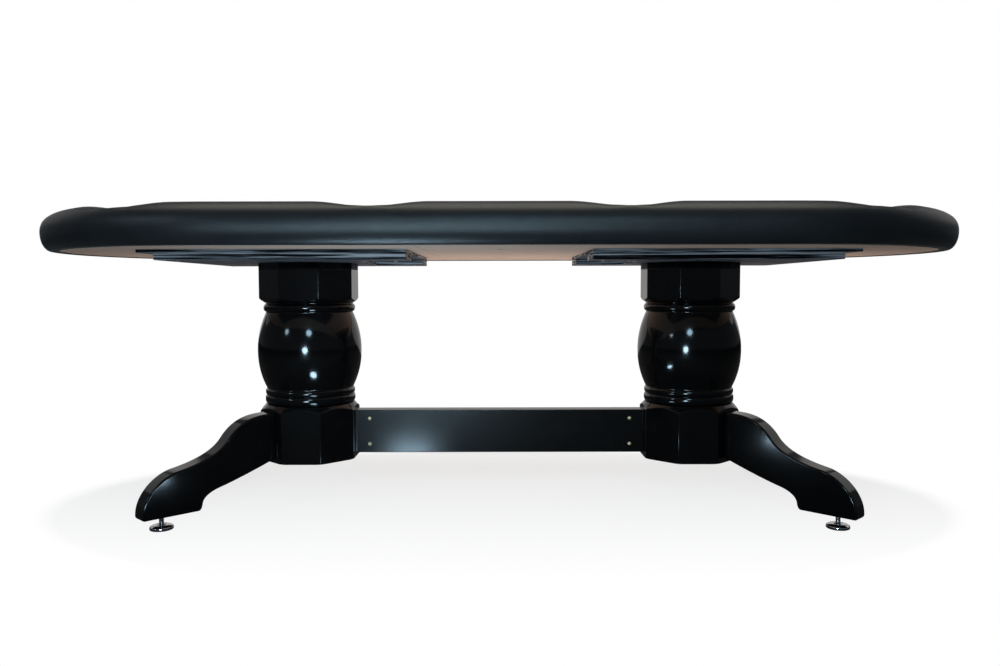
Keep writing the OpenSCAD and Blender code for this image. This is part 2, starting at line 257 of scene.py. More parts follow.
def settle(obj, body, slot, material, *nodes):
    """Gives a finished piece its material and body, and hides the CAD nodes it stands for; slot is not used.
    """
    obj.data.materials.clear()
    obj.data.materials.append(material)
    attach(obj, body)
    if nodes:
        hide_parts(*nodes)
    return obj


def lathe(name, profile, centre=(0, 0), segments=128):
    """Closed turned solid from (radius, height) points; a zero radius makes a pole."""
    points, faces, rings = [], [], []
    for radius, height in profile:
        start = len(points)
        count = 1 if radius < 1e-7 else segments
        for k in range(count):
            a = 2 * math.pi * k / segments
            points.append((centre[0] + radius * math.cos(a), centre[1] + radius * math.sin(a), height))
        rings.append((start, count))
    for (a, na), (b, nb) in zip(rings, rings[1:]):
        for k in range(segments):
            k2 = (k + 1) % segments
            if na == 1 and nb > 1:
                faces.append((a, b + k, b + k2))
            elif nb == 1 and na > 1:
                faces.append((a + k, b, a + k2))
            elif na > 1:
                faces.append((a + k, a + k2, b + k2, b + k))
    return new_piece(name, points, faces)


def inset(outline, amount):
    """An anticlockwise outline moved inwards, with mitred corners."""
    count = len(outline)
    moved = []
    for i in range(count):
        before, here, after = outline[i - 1], outline[i], outline[(i + 1) % count]
        first = Vector((here[0] - before[0], here[1] - before[1])).normalized()
        second = Vector((after[0] - here[0], after[1] - here[1])).normalized()
        n1, n2 = Vector((-first.y, first.x)), Vector((-second.y, second.x))
        shift = (n1 + n2) / max(0.3, 1 + n1.dot(n2)) * amount
        moved.append((here[0] + shift.x, here[1] + shift.y))
    return moved


def slab(name, outline, low, high, place, rounding):
    """An outline pushed from low to high, its rims rounded; place turns (u, v, w) into a point."""
    rings = []
    steps = 4
    for end, sign in ((low, 1), (high, -1)):
        part = []
        for k in range(steps + 1):
            a = math.pi / 2 * k / steps
            part.append((rounding * (1 - math.sin(a)), end + sign * rounding * (1 - math.cos(a))))
        rings += part if sign == 1 else part[::-1]
    points = []
    for amount, w in rings:
        ring = inset(outline, amount) if amount > 1e-9 else outline
        points += [place(u, v, w) for u, v in ring]
    obj = new_piece(name, points, capped_tube(0, len(rings), len(outline)))
    modify(obj, "WEIGHTED_NORMAL", keep_sharp=True, weight=80)
    return obj


def block(name, low, high, rounding):
    """A board: a box cut with softened edges."""
    made = bmesh.new()
    bmesh.ops.create_cube(made, size=1.0)
    size, middle = Vector(high) - Vector(low), (Vector(high) + Vector(low)) / 2
    for v in made.verts:
        v.co = Vector((v.co.x * size.x, v.co.y * size.y, v.co.z * size.z)) + middle
    mesh = bpy.data.meshes.new(name)
    made.to_mesh(mesh)
    made.free()
    for polygon in mesh.polygons:
        polygon.use_smooth = True
    return soften(link(name, mesh), rounding)


# ---- Materials ----

class Nodes:
    """Short calls that add nodes to a tree; a value is either a plain one or another node's output."""

    def __init__(self, owner):
        owner.use_nodes = True
        self.tree = owner.node_tree

    def fill(self, node, values):
        for key, value in values.items():
            socket = node.inputs[key]
            if isinstance(value, bpy.types.NodeSocket):
                self.tree.links.new(value, socket)
            else:
                socket.default_value = value

    def add(self, kind, values=None, **options):
        node = self.tree.nodes.new(kind)
        for key, value in options.items():
            setattr(node, key, value)
        self.fill(node, values or {})
        return node


class Finish(Nodes):
    """A procedural material: a Principled surface and the textures in front of it."""

    def __init__(self, name, **surface):
        self.material = bpy.data.materials.new(name)
        super().__init__(self.material)
        self.surface = self.tree.nodes["Principled BSDF"]
        self.fill(self.surface, {key.replace("_", " "): value for key, value in surface.items()})
        self.place = self.add("ShaderNodeTexCoord").outputs["Object"]

    def scaled(self, x, y, z):
        """The place on the object, scaled unevenly so that a texture runs along one axis."""
        return self.add("ShaderNodeMapping", {"Vector": self.place, "Scale": (x, y, z)}).outputs["Vector"]

    def clouds(self, scale, detail=4.0, roughness=0.5, place=None, distortion=0.0):
        values = {"Vector": place or self.place, "Scale": scale, "Detail": detail,
                  "Roughness": roughness, "Distortion": distortion}
        return self.add("ShaderNodeTexNoise", values).outputs["Fac"]

    def cells(self, scale, feature="F1", place=None, randomness=1.0):
        values = {"Vector": place or self.place, "Scale": scale, "Randomness": randomness}
        return self.add("ShaderNodeTexVoronoi", values, feature=feature).outputs["Distance"]

    def spread(self, value, low, high, from_low=0.0, from_high=1.0):
        values = {"Value": value, "From Min": from_low, "From Max": from_high,
                  "To Min": low, "To Max": high}
        return self.add("ShaderNodeMapRange", values).outputs["Result"]

    def maths(self, operation, first, second=0.0):
        return self.add("ShaderNodeMath", {0: first, 1: second}, operation=operation).outputs["Value"]

    def colours(self, factor, *stops):
        """Colour ramp through (place, (r, g, b)) stops."""
        node = self.add("ShaderNodeValToRGB", {"Fac": factor})
        elements = node.color_ramp.elements
        while len(elements) < len(stops):
            elements.new(0.5)
        for element, (position, colour) in zip(elements, stops):
            element.position = position
            element.color = (*colour, 1.0)
        return node.outputs["Color"]

    def blend(self, factor, first, second):
        """Mix of two colours; 6, 7 and 2 are the node's colour sockets."""
        return self.add("ShaderNodeMix", {0: factor, 6: first, 7: second}, data_type="RGBA").outputs[2]

    def emboss(self, *layers):
        """Bumps of (height, distance) laid over each other, into the surface's normal."""
        normal = None
        for height, distance in layers:
            values = {"Height": height, "Distance": distance, "Strength": 1.0}
            if normal is not None:
                values["Normal"] = normal
            normal = self.add("ShaderNodeBump", values).outputs["Normal"]
        self.fill(self.surface, {"Normal": normal})

    def facing(self, axis):
        """How much the surface faces along an axis, from 0 to 1."""
        normal = self.add("ShaderNodeNewGeometry").outputs["Normal"]
        parts = self.add("ShaderNodeSeparateXYZ", {"Vector": normal})
        return self.maths("ABSOLUTE", parts.outputs[axis])


def rgba(r, g, b):
    return (r, g, b, 1.0)


def vinyl_finish():
    f = Finish("black_vinyl", Specular_IOR_Level=0.5)
    grain = f.cells(850.0)
    warp = f.clouds(260.0, 3.0)
    pores = f.spread(f.cells(1500.0), 1.0, 0.0, 0.0, 0.35)
    wear = f.clouds(9.0, 3.0)
    tone = f.colours(wear, (0.3, (0.0105, 0.0112, 0.0125)), (0.7, (0.0150, 0.0156, 0.0165)))
    f.fill(f.surface, {"Base Color": tone,
                       "Roughness": f.spread(f.clouds(40.0, 4.0), 0.33, 0.43),
                       "Sheen Weight": 0.04, "Sheen Roughness": 0.4,
                       "Sheen Tint": rgba(0.55, 0.62, 0.70)})
    f.emboss((warp, 0.00012), (grain, 0.00016), (pores, 0.00004))
    return f.material


def plywood_finish():
    f = Finish("bare_plywood", Specular_IOR_Level=0.3)
    along = f.scaled(1.0, 9.0, 9.0)
    figure = f.clouds(5.0, 6.0, 0.6, along, 0.8)
    fibre = f.clouds(60.0, 4.0, 0.6, f.scaled(0.6, 14.0, 14.0))
    pores = f.clouds(420.0, 2.0, 0.5, f.scaled(0.08, 1.0, 1.0))
    base = f.colours(figure, (0.30, (0.50, 0.345, 0.265)), (0.55, (0.58, 0.415, 0.33)),
                     (0.78, (0.45, 0.30, 0.23)))
    fibres = f.blend(0.25, base, f.colours(fibre, (0.35, (0.38, 0.25, 0.19)), (0.65, (0.66, 0.50, 0.41))))
    dark = f.spread(pores, 0.0, 0.45, 0.62, 0.75)
    f.fill(f.surface, {"Base Color": f.blend(dark, fibres, rgba(0.20, 0.13, 0.10)),
                       "Roughness": f.spread(fibre, 0.50, 0.68)})
    f.emboss((fibre, 0.00020), (pores, 0.00010))
    return f.material


def black_ply_finish():
    f = Finish("black_plywood")
    streaks = f.clouds(10.0, 5.0, 0.65, f.scaled(0.4, 16.0, 22.0), 0.6)
    plies = f.clouds(60.0, 3.0, 0.6, f.scaled(0.05, 0.3, 4.0))
    # Board faces: grain streaks, lifted to a pale bluish grey that is painted reflection of the floor, seen
    # on the undersides
    face = f.colours(streaks, (0.38, (0.010, 0.010, 0.013)), (0.52, (0.070, 0.072, 0.084)),
                     (0.66, (0.190, 0.197, 0.225)))
    # Ply edges: dark and light bands of the real plies, the light bands bluish grey partly as painted
    # reflection
    edge = f.colours(plies, (0.45, (0.003, 0.003, 0.004)), (0.51, (0.070, 0.073, 0.082)),
                     (0.57, (0.340, 0.350, 0.380)))
    # Faces lying flat take the face tone with its painted reflection, standing faces take the ply bands
    lying = f.facing("Z")
    f.fill(f.surface, {"Base Color": f.blend(f.spread(lying, 0.0, 1.0, 0.4, 0.7), edge, face),
                       "Roughness": f.spread(streaks, 0.34, 0.52),
                       "Specular IOR Level": f.spread(plies, 0.02, 0.35, 0.45, 0.57)})
    f.emboss((streaks, 0.00015), (plies, 0.00020))
    return f.material


def lacquer_finish(name, smoothest, roughest, coat_roughness):
    f = Finish(name, Specular_IOR_Level=0.32, Coat_Weight=0.2, Coat_Roughness=coat_roughness)
    peel = f.clouds(95.0, 2.0, 0.4)
    dust = f.spread(f.cells(130.0), 1.0, 0.0, 0.0, 0.05)
    haze = f.clouds(14.0, 4.0, 0.6)
    f.fill(f.surface, {"Base Color": f.colours(haze, (0.3, (0.0022, 0.0022, 0.0026)),
                                               (0.7, (0.0040, 0.0036, 0.0034))),
                       "Roughness": f.spread(haze, smoothest, roughest)})
    f.emboss((peel, 0.00004), (dust, 0.00002))
    return f.material


def foam_finish():
    f = Finish("cream_foam", Specular_IOR_Level=0.2)
    open_cells = f.cells(700.0)
    tone = f.colours(f.clouds(25.0), (0.3, (0.60, 0.55, 0.42)), (0.7, (0.72, 0.68, 0.55)))
    f.fill(f.surface, {"Base Color": tone, "Roughness": 0.9})
    f.emboss((open_cells, 0.0006))
    return f.material


def cloth_finish():
    f = Finish("green_cloth", Specular_IOR_Level=0.15)
    nap = f.clouds(600.0, 5.0, 0.7)
    brushed = f.clouds(14.0, 4.0, 0.6, f.scaled(1.0, 3.0, 1.0))
    fibres = f.clouds(900.0, 2.0, 0.6, f.scaled(0.25, 1.0, 1.0), 1.5)
    tone = f.colours(brushed, (0.3, (0.006, 0.088, 0.040)), (0.7, (0.011, 0.120, 0.056)))
    f.fill(f.surface, {"Base Color": f.blend(f.spread(fibres, 0.0, 0.35, 0.5, 0.75), tone,
                                             rgba(0.025, 0.19, 0.10)),
                       "Roughness": f.spread(nap, 0.80, 0.98), "Sheen Weight": 0.35,
                       "Sheen Roughness": 0.5, "Sheen Tint": rgba(0.20, 0.55, 0.35)})
    f.emboss((nap, 0.00035), (fibres, 0.00020))
    return f.material


def brushed_steel_finish():
    """Steel spun about the object's own vertical axis."""
    f = Finish("spun_steel", Metallic=1.0)
    parts = f.add("ShaderNodeSeparateXYZ", {"Vector": f.place})
    across = f.maths("SQRT", f.maths("ADD", f.maths("POWER", parts.outputs["X"], 2.0),
                                     f.maths("POWER", parts.outputs["Y"], 2.0)))
    rings = f.add("ShaderNodeCombineXYZ", {"X": across, "Y": parts.outputs["Z"]}).outputs["Vector"]
    lines = f.clouds(2600.0, 3.0, 0.7, rings)
    smears = f.clouds(30.0, 4.0, 0.6)
    tone = f.colours(smears, (0.3, (0.50, 0.50, 0.51)), (0.7, (0.62, 0.62, 0.63)))
    f.fill(f.surface, {"Base Color": tone, "Roughness": f.spread(lines, 0.20, 0.38),
                       "Anisotropic": 0.5})
    f.emboss((lines, 0.00003))
    return f.material


def chrome_finish():
    f = Finish("polished_chrome", Metallic=1.0)
    smears = f.clouds(60.0, 4.0, 0.6)
    scratches = f.clouds(900.0, 2.0, 0.5, f.scaled(1.0, 1.0, 0.1))
    tone = f.colours(smears, (0.3, (0.62, 0.63, 0.65)), (0.7, (0.78, 0.79, 0.80)))
    f.fill(f.surface, {"Base Color": tone, "Roughness": f.spread(scratches, 0.06, 0.16)})
    f.emboss((scratches, 0.00001))
    return f.material


def zinc_finish():
    f = Finish("yellow_zinc_plate", Metallic=0.8)
    crystals = f.cells(500.0)
    smears = f.clouds(120.0, 3.0)
    tone = f.colours(smears, (0.3, (0.78, 0.64, 0.36)), (0.7, (0.92, 0.82, 0.56)))
    f.fill(f.surface, {"Base Color": tone, "Roughness": f.spread(crystals, 0.22, 0.42)})
    f.emboss((crystals, 0.00002))
    return f.material


VINYL = vinyl_finish()
PLYWOOD = plywood_finish()
BLACK_PLY = black_ply_finish()
LACQUER = lacquer_finish("black_lacquer", 0.09, 0.15, 0.07)
SATIN_LACQUER = lacquer_finish("black_satin_lacquer", 0.19, 0.25, 0.20)
FOAM = foam_finish()
CLOTH = cloth_finish()
SPUN_STEEL = brushed_steel_finish()
CHROME = chrome_finish()
ZINC = zinc_finish()


# ---- Rail ----

def track(along, inside):
    """Plan point inside the outline by a depth; along runs over the crest from the front's middle."""
    radius = half_width - inside
    s = along % crest_length
    for flip in (1, -1):
        if s < straight_half:
            return flip * s, -flip * radius
        s -= straight_half
        if s < end_arc:
            turn = s / crest_radius
            return flip * (straight_half + radius * math.sin(turn)), -flip * radius * math.cos(turn)
        s -= end_arc
        if s < straight_half:
            return flip * (straight_half - s), flip * radius
        s -= straight_half
    return 0.0, -radius


def section_height(inside):
    """Height of the undented rail over a point inside the outline by that depth."""
    if inside < CREST_DEPTH:
        share, rise = 1 - inside / CREST_DEPTH, crest - wide_height
    else:
        share, rise = (inside - CREST_DEPTH) / (RAIL_WIDTH - CREST_DEPTH), INNER_RISE
    share = min(1.0, max(0.0, share))
    return crest - rise + rise * (1 - share ** FULLNESS) ** (1 / FULLNESS)


def from_nearest_cup(along):
    return along % cup_step - cup_step / 2


def soft_min(a, b, width):
    share = max(0.0, width - abs(a - b)) / width
    return min(a, b) - share * share * width / 4


def dented(height, along, from_cup):
    """Height of the rail with its dip at each cup; from_cup is the distance from the cup's axis."""
    reach = min(1.0, abs(from_nearest_cup(along)) / DIP_HALF)
    pull = 0.5 * (1 + math.cos(math.pi * reach))
    fallen = mix(height, soft_min(height, dip_level, DIP_SOFTNESS), pull)
    seat = min(height, cup_seat - CLEARANCE)
    return mix(seat, fallen, smooth((from_cup - FLANGE_RADIUS - SETTLE_START) / SETTLE_WIDTH))


def roll(a, gap=0.0):
    """(depth, height) on the outer roll, from its foot to the widest place, inside the skin by a gap."""
    return UNDERCUT - (UNDERCUT - gap) * math.sin(a), wide_height - (WIDE_RISE - gap) * math.cos(a)


def outer_shoulder(a, gap=0.0):
    """(depth, height) from the widest place up to the crest."""
    return (CREST_DEPTH - (CREST_DEPTH - gap) * math.cos(a) ** (2 / FULLNESS),
            wide_height + (crest - wide_height - gap) * math.sin(a) ** (2 / FULLNESS))


def inner_shoulder(a, gap=0.0):
    """(depth, height) from the inner wall up to the crest."""
    return (CREST_DEPTH + (RAIL_WIDTH - CREST_DEPTH - gap) * math.cos(a) ** (2 / FULLNESS),
            crest - INNER_RISE + (INNER_RISE - gap) * math.sin(a) ** (2 / FULLNESS))


def section_rows():
    """Rows of the cover from the hem, over the crest, to the inner wall, as (depth, height, on top)."""
    rows = [(mix(HEM_DEPTH, UNDERCUT, k / HEM_ROWS), rail_bottom, False) for k in range(HEM_ROWS)]
    rows += [(*roll(math.pi / 2 * k / ROLL_ROWS), False) for k in range(ROLL_ROWS)]
    edge = PATCH_MARGIN * CREST_DEPTH
    corner = math.acos((1 - PATCH_MARGIN) ** (FULLNESS / 2))
    shoulder = [corner * k / SHOULDER_ROWS for k in range(SHOULDER_ROWS)]
    rows += [(*outer_shoulder(a), False) for a in shoulder]
    across = [mix(edge, RAIL_WIDTH - edge, k / BLOCK_CELLS) for k in range(BLOCK_CELLS + 1)]
    rows += [(inside, section_height(inside), True) for inside in across]
    rows += [(*inner_shoulder(a), False) for a in shoulder[::-1]]
    foot = board_low.z + WALL_CLEARANCE
    wall = [mix(crest - INNER_RISE, foot, k / WALL_ROWS) for k in range(1, WALL_ROWS + 1)]
    return rows + [(RAIL_WIDTH, height, False) for height in wall]


def rail_cover_mesh():
    """The skin as one grid over the section's rows, with rings in a square patch round each cup."""
    rows = section_rows()
    tops = [i for i, row in enumerate(rows) if row[2]]
    columns = CUPS * STEP_CELLS
    half = BLOCK_CELLS // 2
    points, index = [], {}

    def grid(column, row):
        key = (column % columns, row)
        if key not in index:
            along = key[0] / STEP_CELLS * cup_step
            inside, height, on_top = rows[row]
            x, y = track(along, inside)
            if height > wide_height and inside < RAIL_WIDTH - 1e-6:
                height = dented(height, along, FAR_FROM_CUP)
            index[key] = len(points)
            points.append((x, y, height))
        return index[key]

    faces = []
    for column in range(columns):
        in_block = abs((column + 0.5) % STEP_CELLS - STEP_CELLS / 2) < half
        for row in range(len(rows) - 1):
            if in_block and tops[0] <= row < tops[-1]:
                continue
            faces.append((grid(column, row), grid(column + 1, row),
                          grid(column + 1, row + 1), grid(column, row + 1)))
    for cup in range(CUPS):
        middle = cup * STEP_CELLS + STEP_CELLS // 2
        rim = [(middle - half + k, tops[0]) for k in range(BLOCK_CELLS)]
        rim += [(middle + half, tops[0] + k) for k in range(BLOCK_CELLS)]
        rim += [(middle + half - k, tops[-1]) for k in range(BLOCK_CELLS)]
        rim += [(middle - half, tops[-1] - k) for k in range(BLOCK_CELLS)]
        patch_rim = [grid(*corner) for corner in rim]
        outer = patch_rim
        axis = Vector(track(middle / STEP_CELLS * cup_step, CREST_DEPTH))
        for radius in RING_RADII:
            inner = []
            for corner in patch_rim:
                spoke = Vector(points[corner][:2]) - axis
                place = axis + spoke.normalized() * radius
                inner.append(len(points))
                points.append((place.x, place.y, top_height(place, radius)))
            for k in range(len(outer)):
                k2 = (k + 1) % len(outer)
                faces.append((outer[k], outer[k2], inner[k2], inner[k]))
            outer = inner
    return new_piece("rail_cover_skin", points, faces)


def place_on_track(point):
    """(along, inside) of a plan point."""
    x, y = point
    if abs(x) <= straight_half:
        inside = half_width - abs(y)
        along = x if y < 0 else 2 * straight_half + end_arc - x
        return along % crest_length, inside
    flip = 1 if x > 0 else -1
    arm = Vector((flip * x - straight_half, flip * y))
    turn = math.atan2(arm.x, -arm.y)
    along = straight_half + turn * crest_radius
    if flip < 0:
        along += crest_length / 2
    return along % crest_length, half_width - arm.length


def top_height(point, from_cup):
    along, inside = place_on_track(point)
    height = dented(section_height(inside), along, from_cup)
    return height - LIP_DROP * smooth((LIP_RADIUS - from_cup) / LIP_WIDTH)


def held_by(point):
    """How firmly the skin is held at a point: at its hem, along the inner wall and round the cups."""
    along, inside = place_on_track(point[:2])
    if point.z < rail_bottom + HELD_HEM:
        return 1.0
    if inside > CREST_DEPTH and point.z < crest - INNER_RISE + HELD_WALL:
        return 1.0
    axis = Vector(track(along - from_nearest_cup(along), CREST_DEPTH))
    return 1.0 if point.z > wide_height and (Vector(point[:2]) - axis).length < HELD_RADIUS else 0.0


def settle_skin(skin):
    """Lets the vinyl swell over its foam as cloth, held by its hems and by the cups' flanges."""
    rest = [v.co.copy() for v in skin.data.vertices]
    held = skin.vertex_groups.new(name="held")
    for v in skin.data.vertices:
        held.add([v.index], held_by(v.co), "REPLACE")
    cloth = skin.modifiers.new("swell", "CLOTH")
    fabric = cloth.settings
    for key, value in VINYL_CLOTH.items():
        setattr(fabric, key, value)
    fabric.use_pressure = True
    fabric.uniform_pressure_force = SWELL_PRESSURE
    fabric.vertex_group_mass = held.name
    fabric.effector_weights.gravity = 0.0
    cloth.point_cache.frame_start = 1
    cloth.point_cache.frame_end = SWELL_FRAMES
    for frame_number in range(1, SWELL_FRAMES + 1):
        bpy.context.scene.frame_set(frame_number)
    settled = skin.evaluated_get(bpy.context.evaluated_depsgraph_get()).to_mesh()
    moved = [v.co.copy() for v in settled.vertices]
    skin.modifiers.remove(cloth)
    bpy.context.scene.frame_set(1)
    for v, before, after in zip(skin.data.vertices, rest, moved):
        shift = after - before
        if shift.length > SWELL_CAP:
            shift *= SWELL_CAP / shift.length
        v.co = before + shift


cover = rail_cover_mesh()
settle_skin(cover)
modify(cover, "SUBSURF", levels=1, render_levels=1)
modify(cover, "SOLIDIFY", thickness=SKIN, offset=-1.0)
settle(cover, "table", "vinyl", VINYL, "rail_cover")


def foam_section(gap):
    """The foam's section, inside the skin's by a gap, as (depth, height, on top)."""
    floor = board_high.z + CLEARANCE
    core = half_width - board_high.y - CLEARANCE
    lowest = rail_bottom + gap
    section = [(core, lowest, False), (UNDERCUT, lowest, False)]
    section += [(*roll(math.pi / 2 * k / 6, gap), False) for k in range(1, 7)]
    arc = [math.pi / 2 * k / 12 for k in range(13)]
    section += [(*outer_shoulder(a, gap), True) for a in arc[1:]]
    section += [(*inner_shoulder(a, gap), True) for a in arc[-2::-1]]
    return section + [(RAIL_WIDTH - gap, floor, False), (core, floor, False)]


def foam_length(node, starts, ends, steps):
    """Closed strip of foam under the skin, between two places along the rail."""
    gap = SKIN + FOAM_GAP
    section = foam_section(gap)
    points = []
    for step in range(steps + 1):
        along = mix(starts, ends, step / steps)
        axis = Vector(track(along - from_nearest_cup(along), CREST_DEPTH))
        for inside, height, on_top in section:
            x, y = track(along, inside)
            if on_top:
                height = dented(height + gap, along, FAR_FROM_CUP) - gap - CLEARANCE
                near = (Vector((x, y)) - axis).length
                pressed = min(height, cup_seat - FOAM_PRESS - gap)
                height = mix(pressed, height, smooth((near - FLANGE_RADIUS) / FOAM_RELEASE))
            points.append((x, y, height))
    obj = new_piece(node + "_pad", points, capped_tube(0, steps + 1, len(section)))
    return settle(obj, "table", "foam", FOAM, node)


def cup_cutter():
    """All ten cup holes through the foam, as one cutting object."""
    points, faces = [], []
    count = 48
    low, high = board_high.z - CUTTER_BELOW, crest + CUTTER_ABOVE
    hole, pole = CUP_RADIUS + CUP_HOLE_GAP, 0.00001
    for cup in range(CUPS):
        x, y = track((cup + 0.5) * cup_step, CREST_DEPTH)
        faces += capped_tube(len(points), 4, count)
        for radius, height in ((pole, low), (hole, low), (hole, high), (pole, high)):
            for k in range(count):
                a = 2 * math.pi * k / count
                points.append((x + radius * math.cos(a), y + radius * math.sin(a), height))
    return new_piece("cup_cutter", points, faces, False)


def apply_modifiers(obj):
    """Bakes an object's modifiers into its mesh."""
    bpy.context.view_layer.update()
    evaluated = obj.evaluated_get(bpy.context.evaluated_depsgraph_get())
    mesh = bpy.data.meshes.new_from_object(evaluated)
    obj.modifiers.clear()
    obj.data = mesh
    return obj


cutter = cup_cutter()
starts = -straight_half
for end, length, steps in (("front", 2 * straight_half, 130), ("right", end_arc, 150),
                           ("rear", 2 * straight_half, 130), ("left", end_arc, 150)):
    foam = foam_length(f"rail_foam_{end}", starts + FOAM_GAP, starts + length - FOAM_GAP, steps)
    starts += length
    modify(foam, "BOOLEAN", object=cutter, operation="DIFFERENCE", solver="EXACT")
    apply_modifiers(foam)
bpy.data.objects.remove(cutter)


# ---- Playfield ----

def end_points(flip, radius, steps):
    """Half circle round one end of the table, anticlockwise; flip is 1 for the right end, -1 for the left."""
    turns = [-math.pi / 2 + math.pi * k / steps for k in range(steps + 1)]
    return [(flip * (straight_half + radius * math.cos(a)), flip * radius * math.sin(a)) for a in turns]


def oval_outline(inside):
    """Anticlockwise plan outline, inside the table's outline by that depth."""
    return end_points(1, half_width - inside, 64) + end_points(-1, half_width - inside, 64)


def playfield():
    """Cloth stretched over a slab of foam, with ripples of a fraction of its thickness."""
    inside = half_width - cloth_high.y
    foam_low, foam_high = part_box("playfield_foam")
    pad = slab("playfield_pad", oval_outline(inside), foam_low.z, foam_high.z, unmoved, PAD_ROUNDING)
    settle(pad, "table", "foam", FOAM, "playfield_foam")
    rings = 26
    outline = oval_outline(inside + CLOTH_INSET)
    points = []
    for r in range(rings):
        share = r / rings
        for u, v in outline:
            x = mix(u, max(-straight_half, min(straight_half, u)), share)
            y = mix(v, 0.0, share)
            ripple = noise.noise(Vector((x * RIPPLES, y * RIPPLES, 0.4))) * RIPPLE_HEIGHT
            points.append((x, y, cloth_high.z - CLOTH_SINK + ripple))
    count = len(outline)
    faces = tube(0, rings, count)
    faces.append(tuple(range(len(points) - count, len(points))))
    sheet = new_piece("playfield_sheet", points, faces)
    modify(sheet, "SOLIDIFY", thickness=CLOTH_THICKNESS, offset=-1.0)
    settle(sheet, "table", "cloth", CLOTH, "playfield_cloth")


playfield()


# ---- Cups ----

# The rolled flange from the wall's outside to its inside, as (radius, height over the seat)
FLANGE = ((0.0384, -0.0006), (0.0398, 0.0), (0.0455, 0.0), (0.0462, -0.0005), (0.0470, -0.0004),
          (0.0473, 0.0001), (0.0470, 0.0006), (0.0462, 0.0009), (0.0450, 0.0010), (0.0400, 0.0010),
          (0.0385, 0.0008), (0.0374, -0.0004), (CUP_RADIUS, -0.0022))


def cup_profile():
    """Section of a spun cup about its own axis, up the outside and down the inside."""
    wall, fillet = CUP_WALL, CUP_FILLET
    low, inner_low = cup_low.z, cup_low.z + wall
    outer = CUP_RADIUS + wall
    turns = [math.pi / 2 * k / 6 for k in range(7)]
    points = [(0, low)]
    points += [(outer - fillet + fillet * math.sin(a), low + fillet - fillet * math.cos(a)) for a in turns]
    points += [(outer, cup_seat - 0.002)] + [(radius, cup_seat + rise) for radius, rise in FLANGE]
    points += [(CUP_RADIUS, mix(cup_seat, low, t)) for t in (0.25, 0.5, 0.75)]
    points += [(CUP_RADIUS - fillet + fillet * math.sin(a), inner_low + fillet - fillet * math.cos(a))
               for a in turns[::-1]]
    points += [(0.024, inner_low), (0.023, inner_low + 0.0006), (0.022, inner_low)]
    return points + [(0.012, inner_low), (0, inner_low)]


for number in range(1, CUPS + 1):
    node = f"cup_holder_{number}"
    low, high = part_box(node)
    cup = lathe(node + "_spun", cup_profile(), segments=96)
    cup.location = ((low.x + high.x) / 2, (low.y + high.y) / 2, 0)
    settle(cup, "table", "steel_cups", SPUN_STEEL, node)


# ---- Base and boards ----

def base_panel(place, outline):
    obj = slab(f"base_{place}", outline, base_low.z, base_high.z, unmoved, PANEL_ROUNDING)
    settle(obj, "table", "plywood", PLYWOOD, f"base_panel_{place}")


seam, base_radius = base_high.x, base_high.y
base_panel("centre", [(-seam, -base_radius), (seam, -base_radius), (seam, base_radius), (-seam, base_radius)])
for name, flip in (("right", 1), ("left", -1)):
    cut, edge = flip * (seam + SEAM_GAP), flip * base_radius
    base_panel(name, [(cut, -edge), *end_points(flip, base_radius, 96), (cut, edge)])

for hand in HANDS:
    for part in ("mounting_plate", "cross_board_front", "cross_board_centre", "cross_board_rear"):
        node = f"{part}_{hand}"
        low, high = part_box(node)
        board = block(node + "_cut", low, high, BOARD_ROUNDING)
        settle(board, "table", "black_ply", BLACK_PLY, node)


# ---- Pedestals ----

def octagon_outline(apothem, rounding, cells=10):
    """Anticlockwise octagon with flats towards the axes and rounded corners, cut finely along each flat."""
    reach = (apothem - rounding) / math.cos(math.pi / 8)
    points = []
    for corner in range(8):
        middle = math.radians(22.5 + 45 * corner)
        centre = Vector((math.cos(middle), math.sin(middle))) * reach
        arc = []
        for k in range(5):
            a = middle + math.radians(45) * (k / 4 - 0.5)
            arc.append(centre + Vector((math.cos(a), math.sin(a))) * rounding)
        if points:
            start = points[-1]
            points += [start.lerp(arc[0], t / cells) for t in range(1, cells)]
        points += arc
    points += [points[-1].lerp(points[0], t / cells) for t in range(1, cells)]
    return points


def at_height(profile, z):
    for (r0, z0), (r1, z1) in zip(profile, profile[1:]):
        if z0 <= z <= z1:
            return r0 if z1 - z0 < 1e-9 else mix(r0, r1, (z - z0) / (z1 - z0))
    return profile[-1][0]


def turned_block(name, heights, limit, centre_x, node):
    """An octagonal prism, its corners turned down to a limit of (radius, height) points."""
    outline = octagon_outline(block_apothem, BLOCK_ROUNDING)
    points = []
    for z in heights:
        most = at_height(limit, z)
        for p in outline:
            reach = soft_min(p.length, most, TURNING_SOFTNESS)
            q = p * (reach / p.length)
            points.append((centre_x + q.x, q.y, z))
    obj = new_piece(name, points, capped_tube(0, len(heights), len(outline)))
    modify(obj, "WEIGHTED_NORMAL", keep_sharp=True, weight=60)
    return settle(obj, "table", "lacquer", LACQUER, node)


def spaced(low, high, count):
    return [mix(low, high, k / count) for k in range(count + 1)]


def bead(low, high, valley, peak, steps=14):
    return [(valley + (peak - valley) * math.sin(a), (low + high) / 2 - (high - low) / 2 * math.cos(a))
            for a in (math.pi * k / steps for k in range(steps + 1))]


floor_of_block = block_low.z
top_of_block = block_high.z
flat_top = floor_of_block + BLOCK_FLAT
corner_reach = block_apothem / math.cos(math.pi / 8)
lower_limit = [(corner_reach - 0.003, floor_of_block), (corner_reach + 0.001, floor_of_block + 0.004),
               (corner_reach + 0.001, flat_top)]
lower_limit += curve((corner_reach + 0.001, flat_top), (0.132, flat_top + 0.004), (0.127, flat_top + 0.008),
                     (0.121, top_of_block - 0.001), 12)
lower_limit += [(0.1195, top_of_block)]
lower_heights = spaced(floor_of_block, floor_of_block + 0.005, 5) + [floor_of_block + 0.03, flat_top - 0.03]
lower_heights += spaced(flat_top - 0.004, top_of_block, 22)

